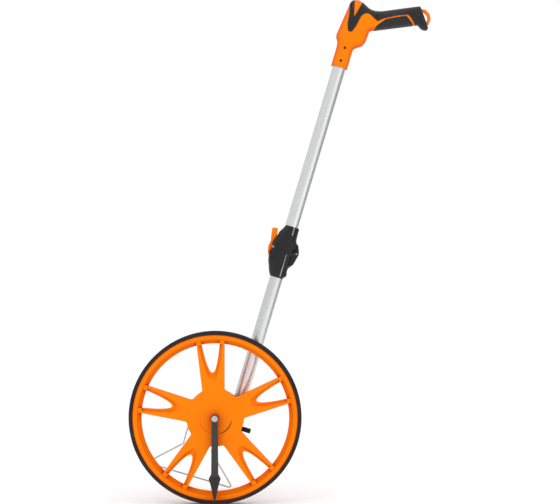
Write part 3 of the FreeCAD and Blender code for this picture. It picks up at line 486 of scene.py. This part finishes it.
PIT_RADIUS, PIT_DEPTH = 2.5, 2.2        # the sunk seats of the handle's screws
PIT_POINTS = 16
FOOT, FOOT_POINTS = 688.0, 60           # where the handle's socket ends, along the pole
PARTING = 0.12                          # half the gap between the handle's shells


class Form:
    """A rounded body known by its side outline: how far each point stands from its middle plane."""

    RINGS = (0.25, 0.8, 1.8, 3.2, 5.0, 7.2)    # distances inside the outline with points all round
    GRID = 2.6                                  # spacing of the points further in
    CLEAR = 0.24                                # no loose point is nearer than this to a fixed one

    def __init__(self, outline, corner, rounding, depth, pits, regions, foot):
        self.line = rounded(outline, corner)
        self.foot = foot
        self.rounding, self.depth, self.pits = rounding, depth, pits
        self.regions = {name: rounded(points, round_off) for name, points, round_off in regions}
        chains = [self.line] + list(self.regions.values())
        across = np.linspace(self.line[:, 0].min() - 1, self.line[:, 0].max() + 1, FOOT_POINTS)
        chains.append(np.stack([across, np.full(FOOT_POINTS, foot)], axis=1))
        for x, z in pits:
            for radius in (PIT_RADIUS, PIT_RADIUS - 0.2):
                turn = np.linspace(0, 2 * np.pi, PIT_POINTS + 1)[:-1]
                chains.append(np.stack([x + radius * np.cos(turn), z + radius * np.sin(turn)], axis=1))
        points, edges = [], []
        for chain in chains:
            first = len(points)
            points += [tuple(p) for p in chain]
            edges += [(first + i, first + (i + 1) % len(chain)) for i in range(len(chain))]
        fixed = np.array(points)
        loose = self.loose_points()
        near = np.min(np.linalg.norm(loose[:, None] - fixed[None], axis=2), axis=1)
        loose = loose[near > self.CLEAR]
        for x, z in pits:
            loose = loose[np.hypot(loose[:, 0] - x, loose[:, 1] - z) > PIT_RADIUS + 0.5]
        flat = [Vector(p) for p in points + [tuple(p) for p in loose]]
        flat, _, faces, _, _, _ = delaunay_2d_cdt(flat, edges, [], 0, 1e-5)
        self.flat = np.array([tuple(p) for p in flat])
        middles = np.array([self.flat[list(face)].mean(axis=0) for face in faces])
        keep = inside(self.line, middles) & (middles[:, 1] > foot)
        self.faces = [tuple(face) for face, kept in zip(faces, keep) if kept]
        self.middles = middles[keep]
        self.heights = self.height(self.flat)

    def loose_points(self):
        """Points in rings that follow the outline, and on a square grid further in."""
        ahead = np.roll(self.line, -1, axis=0) - np.roll(self.line, 1, axis=0)
        normal = np.stack([-ahead[:, 1], ahead[:, 0]], axis=1)
        normal /= np.linalg.norm(normal, axis=1)[:, None]
        if not inside(self.line, self.line[:1] + normal[:1] * 0.3)[0]:
            normal = -normal
        found = []
        for ring in self.RINGS:
            moved = self.line + normal * ring
            found.append(moved[distance_to(self.line, moved) > ring * 0.93])
        low, high = self.line.min(axis=0), self.line.max(axis=0)
        columns, rows = (np.arange(low[k], high[k], self.GRID) for k in (0, 1))
        grid = np.stack(np.meshgrid(columns, rows), axis=-1).reshape(-1, 2)
        grid = grid[inside(self.line, grid)]
        found.append(grid[distance_to(self.line, grid) > self.RINGS[-1] + 1.2])
        return np.concatenate(found)

    def height(self, points):
        """Half the body's thickness at each point, rounded off towards the outline."""
        share = np.clip(distance_to(self.line, points) / self.rounding, 0, 1)
        heights = self.depth(points) * np.sqrt(1 - (1 - share) ** 2)
        for x, z in self.pits:
            heights -= PIT_DEPTH * (np.hypot(points[:, 0] - x, points[:, 1] - z) < PIT_RADIUS - 0.1)
        return np.maximum(heights, 0)

    def half(self, side):
        """One closed half of the body: its crowned side, and a flat back just off the middle plane."""
        used = sorted({v for face in self.faces for v in face})
        number = {v: i for i, v in enumerate(used)}
        count = len(used)
        points = []
        for height in (self.heights, np.full(len(self.flat), PARTING)):
            for v in used:
                x, z = self.flat[v]
                points.append((x, DEPTH + side * max(float(height[v]), PARTING), z))
        faces = []
        edges = set()
        for face in self.faces:
            faces.append(tuple(number[v] for v in face))
            faces.append(tuple(number[v] + count for v in reversed(face)))
            for a, b in zip(face, face[1:] + face[:1]):
                edges ^= {(min(a, b), max(a, b))}
        for a, b in edges:
            if max(self.heights[a], self.heights[b]) > PARTING:
                faces.append((number[a], number[b], number[b] + count, number[a] + count))
        return points, faces

    def skin(self, region):
        """Both sides of a region of the surface, joined at the outline."""
        chosen = inside(self.regions[region], self.middles)
        for x, z in self.pits:
            chosen &= np.hypot(self.middles[:, 0] - x, self.middles[:, 1] - z) > PIT_RADIUS
        points, faces = [], []
        for side in (-1, 1):
            first = len(points)
            points += [(x, DEPTH + side * h, z) for (x, z), h in zip(self.flat, self.heights)]
            faces += [tuple(v + first for v in face) for face, kept in zip(self.faces, chosen) if kept]
        used = sorted({v for face in faces for v in face})
        number = {v: i for i, v in enumerate(used)}
        return [points[v] for v in used], [tuple(number[v] for v in face) for face in faces]


# The handle's outlines: its edge, and the edges of its two rubber skins.
HANDLE = [(18.5, 660), (18.6, 722), (17.6, 733), (12.2, 741), (11.6, 747), (19.0, 806.5), (21.5, 814),
          (28.2, 818.8), (35.5, 819.3), (42.2, 816.8), (50.2, 812.4), (58, 808.9), (68.6, 808.0),
          (79.8, 810.8),
          (112.7, 825.6), (145.8, 840.4), (148.6, 838.4), (172.0, 806.6), (170.6, 801.2), (161.5, 800.6),
          (151.8, 806.9), (145.5, 803.6), (76.1, 773.1), (69.2, 769.0), (68.2, 750), (65.0, 739.3),
          (49.5, 728.5), (49.4, 660)]
GRIP_SKIN = [(14, 822), (20.0, 806), (24.0, 787.6), (25.9, 768.7), (30.2, 756.4), (37.0, 755.6),
             (41.9, 768.1),
             (45.9, 789.8), (51.1, 796.9), (59.5, 798.9), (77.8, 789.0), (86.6, 797.2), (109.9, 809.9),
             (129.4, 817.8), (148.9, 803.4), (148, 780), (185, 780), (185, 855), (100, 855), (44, 832),
             (41.6, 816), (34.5, 785.5), (33.1, 785.5), (25.4, 818), (24, 832)]
INSERT_SKIN = [(70, 762), (76.5, 773.5), (79.2, 782), (91.6, 797.4), (108.4, 806.2), (126.2, 814.6),
               (143.6, 803.2), (146, 780), (110, 765)]
HANDLE_PITS = [(25.0, 804.1), (74.9, 797.3), (150.0, 823.5), (33.9, 724.6), (33.5, 699.8)]


def handle_depth(points):
    """Half the handle's thickness: the socket's, fuller around the head."""
    head = np.hypot(points[:, 0] - 44, points[:, 1] - 768) / 34
    tail = np.clip((points[:, 0] - 70) / 90, 0, 1)
    return 15.6 + 3.6 * np.exp(-head ** 2) + 0.9 * np.sin(np.pi * tail)


def rubber_skin(name, form, region, replaced):
    """A thick layer of rubber over one region of the handle."""
    points, faces = form.skin(region)
    skin = make_piece(name, points, faces, "upper_pole", "soft_grip", sharp=60)
    thick = skin.modifiers.new("thickness", "SOLIDIFY")
    thick.thickness = 1.2 * MM
    thick.offset = 0.42
    edge = skin.modifiers.new("edge", "BEVEL")
    edge.width = 0.35 * MM
    edge.segments = 2
    edge.limit_method = "ANGLE"
    edge.angle_limit = math.radians(60)
    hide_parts(replaced)
    return skin


def ring_faces(levels, count, closed=True):
    """Quads between rings that each have the same number of points, and a face over each end."""
    faces = []
    for a in range(0, (levels - 1) * count, count):
        for i in range(count):
            j = (i + 1) % count
            faces.append((a + i, a + j, a + count + j, a + count + i))
    if closed:
        faces.append(tuple(reversed(range(count))))
        faces.append(tuple((levels - 1) * count + i for i in range(count)))
    return faces


def screw_head(centre, radius, side):
    """A flat head with a cross recess, facing out along Y."""
    x, y, z = centre
    count, points = 32, []
    # Each ring is a radius, and how far it lies below the head's face.
    edge = ((radius, 1.2), (radius, 0.35), (radius - 0.3, 0.0), (radius * 0.62, -0.05))
    recess = ((radius * 0.5, -0.05), (radius * 0.42, 0.9))
    for crossed, rings in ((False, edge), (True, recess)):
        for reach, sink in rings:
            for i in range(count):
                turn = 2 * math.pi * i / count
                far = reach * (0.35 + 0.65 * abs(math.cos(2 * turn)) ** 6) if crossed else reach
                points.append((x + far * math.cos(turn), y - side * sink, z + far * math.sin(turn)))
    return points, ring_faces(len(edge) + len(recess), count)


def gather(parts):
    """One list of points and faces from several."""
    points, faces = [], []
    for more_points, more_faces in parts:
        first = len(points)
        points += more_points
        faces += [tuple(v + first for v in face) for face in more_faces]
    return points, faces


def make_handle():
    """Two shells, two rubber skins and the screw heads, on the photographed outline."""
    regions = (("grip", GRIP_SKIN, 3.0), ("insert", INSERT_SKIN, 2.0))
    form = Form(HANDLE, 3.6, 15.2, handle_depth, HANDLE_PITS, regions, FOOT)
    shells = (("handle_shell_front", -1, "handle_front"), ("handle_shell_back", 1, "handle_back"))
    for name, side, replaced in shells:
        shell = make_piece(name, *form.half(side), "upper_pole", "orange_plastic")
        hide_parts(replaced)
    rubber_skin("grip_rubber", form, "grip", "grip_overmould")
    rubber_skin("underside_rubber", form, "insert", "grip_insert")
    floors = form.height(np.array(HANDLE_PITS))
    heads = [screw_head((x, DEPTH - float(floor) - 0.5, z), 2.2, -1)
             for (x, z), floor in zip(HANDLE_PITS, floors)]
    # The heads are dark steel rather than zinc: painted shade for their deep pits.
    screws = make_piece("handle_screw_heads", *gather(heads), "upper_pole", "dark_steel", slot="zinc_steel")
    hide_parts("handle_screws")


def ring_block(inner, outer, low, high, start, stop, count=4):
    """A closed block bent round Y, from one angle to another, from +z towards +x."""
    corners = ((inner, low), (outer, low), (outer, high), (inner, high))
    points = []
    for i in range(count + 1):
        turn = start + (stop - start) * i / count
        points += [(radius * math.sin(turn), depth, radius * math.cos(turn)) for radius, depth in corners]
    return points, ring_faces(count + 1, len(corners))


def make_tread_lugs():
    """Low bars across the tyre's grooves."""
    radius = (TYRE_HIGH.x - TYRE_LOW.x) / 2 / MM
    count, half_across, turn = 150, 0.95, 0.010
    bars = []
    for groove in (-5.0, 0.0, 5.0):
        for i in range(count):
            start = 2 * math.pi * i / count
            bars.append(ring_block(radius - 1.1, radius - 0.08, groove - half_across, groove + half_across,
                                   start, start + turn, 1))
    make_piece("tread_lugs", *gather(bars), "wheel", "tyre_rubber", place=WHEEL)


def make_hub_print():
    """A plain printed arc on the hub's face, solid on one side and broken on the other."""
    face = node_box("wheel")[0].y / MM
    proud, sunk, radius = face - 0.04, face + 0.05, 30.6
    marks = []
    start, stop, count = math.radians(98), math.radians(170), 24
    for i in range(count):
        here, there = (start + (stop - start) * (i + k) / count for k in (0, 1))
        half = 0.4 + 0.9 * math.sin(math.pi * (i + 0.5) / count)
        marks.append(ring_block(radius - half, radius + half, proud, sunk, here, there, 1))
    for i in range(14):
        here = math.radians(190 + i * 4.6)
        marks.append(ring_block(28.7, 29.9, proud, sunk, here, here + math.radians(2.1), 1))
    make_piece("hub_print", *gather(marks), "wheel", "printed", slot="black_plastic", place=WHEEL)


# Each stroke of a digit as left, right, bottom and top shares of its box, and the strokes each digit lacks.
SEGMENTS = {"top": (0.0, 1.0, 0.9, 1.0), "middle": (0.0, 1.0, 0.45, 0.55), "bottom": (0.0, 1.0, 0.0, 0.1),
            "left_up": (0.0, 0.18, 0.5, 1.0), "left_down": (0.0, 0.18, 0.0, 0.5),
            "right_up": (0.82, 1.0, 0.5, 1.0), "right_down": (0.82, 1.0, 0.0, 0.5)}
MISSING = {0: ["middle"], 1: ["top", "middle", "bottom", "left_up", "left_down"],
           2: ["left_up", "right_down"],
           3: ["left_up", "left_down"], 4: ["top", "bottom", "left_down"], 5: ["right_up", "left_down"],
           6: ["right_up"], 7: ["middle", "bottom", "left_up", "left_down"], 8: [], 9: ["left_down"]}


def make_digits():
    """The numbers nought to nine round each drum, as raised print."""
    width, tall = 3.0, 0.40        # millimetres, and radians round the drum
    for number in range(1, 6):
        low, high = node_box("number_drum_%d" % number)
        centre = (low + high) / 2
        radius = (high.x - low.x) / 2 / MM
        middle = centre.y / MM + 0.35
        place = Matrix.Translation((centre.x, 0, centre.z))
        marks = []
        for digit in range(10):
            start = 2 * math.pi * digit / 10 - tall / 2
            for name, (left, right, bottom, top) in SEGMENTS.items():
                if name in MISSING[digit]:
                    continue
                near, far = middle + width / 2 - width * right, middle + width / 2 - width * left
                marks.append(ring_block(radius - 0.15, radius + 0.04, near, far,
                                        start + tall * bottom, start + tall * top, 3))
        make_piece("drum_digits_%d" % number, *gather(marks), "drum_%d" % number, "digits",
                   slot="black_plastic", place=place)


def make_spring():
    """The reset knob's return spring, of round wire."""
    turns, coil, wire, low, high = 4.5, 3.35, 0.32, 43.65, 49.9
    depth, height, steps, around = 55.0, -13.0, 110, 8
    points = []
    for i in range(steps + 1):
        turn = 2 * math.pi * turns * i / steps
        x = low + wire + (high - low - 2 * wire) * i / steps
        for k in range(around):
            lap = 2 * math.pi * k / around
            reach = coil + wire * math.cos(lap)
            points.append((x + wire * math.sin(lap), depth + reach * math.cos(turn),
                           height + reach * math.sin(turn)))
    spring = make_piece("return_spring", points, ring_faces(steps + 1, around), "frame", "zinc_steel")
    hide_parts("reset_spring")
    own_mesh(spring)


def bar(low, high, bevel):
    """A straight bar with bevelled edges, between two corners."""
    build = bmesh.new()
    bmesh.ops.create_cube(build, size=1.0)
    for vert in build.verts:
        vert.co = Vector([a + (b - a) * (c + 0.5) for a, b, c in zip(low, high, vert.co)])
    bmesh.ops.bevel(build, geom=build.edges[:], offset=bevel, segments=3, affect="EDGES", profile=0.6)
    build.verts.index_update()
    result = [tuple(v.co) for v in build.verts], [tuple(v.index for v in f.verts) for f in build.faces]
    build.free()
    return result


def make_joint_details():
    """The bright strips that show in the castings' slits, and the bright end of the latch's stop pin."""
    front = DEPTH - 16.6
    strips = (("strip_lower", 282.5, 326.5, "frame"), ("strip_upper", 361.5, 377.0, "upper_pole"))
    for name, low, high, body in strips:
        make_piece(name, *bar((38.95, front, low), (41.05, DEPTH - 12.0, high), 0.4), body, "satin_aluminium",
                   slot="tube_aluminium")
    rings = ((0.0, -1.1), (1.0, -0.9), (1.7, -0.3), (1.9, 0.4), (1.9, 3.0), (0.0, 3.0))
    centre, count, points = (12.2, DEPTH - 11.0, 332.8), 20, []
    for reach, sink in rings:
        for i in range(count):
            turn = 2 * math.pi * i / count
            points.append((centre[0] + reach * math.cos(turn), centre[1] + sink,
                           centre[2] + reach * math.sin(turn)))
    faces = ring_faces(len(rings), count, closed=False)
    make_piece("stop_pin_end", points, faces, "upper_pole", "zinc_steel")


def make_joint_pad():
    """The thin black pad between the castings, cut straight where the latch and the hinge pass."""
    hinge_low, hinge_high = node_box("hinge_pin")
    split = POLE.inverted() @ ((hinge_low + hinge_high) / 2) / MM
    centre, half_across, half_depth, square = 33.1, 23.6, 17.4, 2.5
    across = np.linspace(15.0, split.x - 5.2, 30)
    reach = half_depth * (1 - np.abs((across - centre) / half_across) ** square) ** (1 / square)
    outline = list(zip(across, reach)) + list(zip(across[::-1], -reach[::-1]))
    count = len(outline)
    points = [(x, DEPTH + y, split.z + level) for level in (-0.145, 0.14) for x, y in outline]
    faces = [tuple(range(count)), tuple(reversed(range(count, 2 * count)))]
    faces += [(i, (i + 1) % count, (i + 1) % count + count, i + count) for i in range(count)]
    make_piece("joint_pad", points, faces, "frame", "black_plastic")


LOOKS = make_looks()
make_camera()
make_stage()
dress_cad()
make_handle()
make_tread_lugs()
make_hub_print()
make_digits()
make_spring()
make_joint_details()
make_joint_pad()
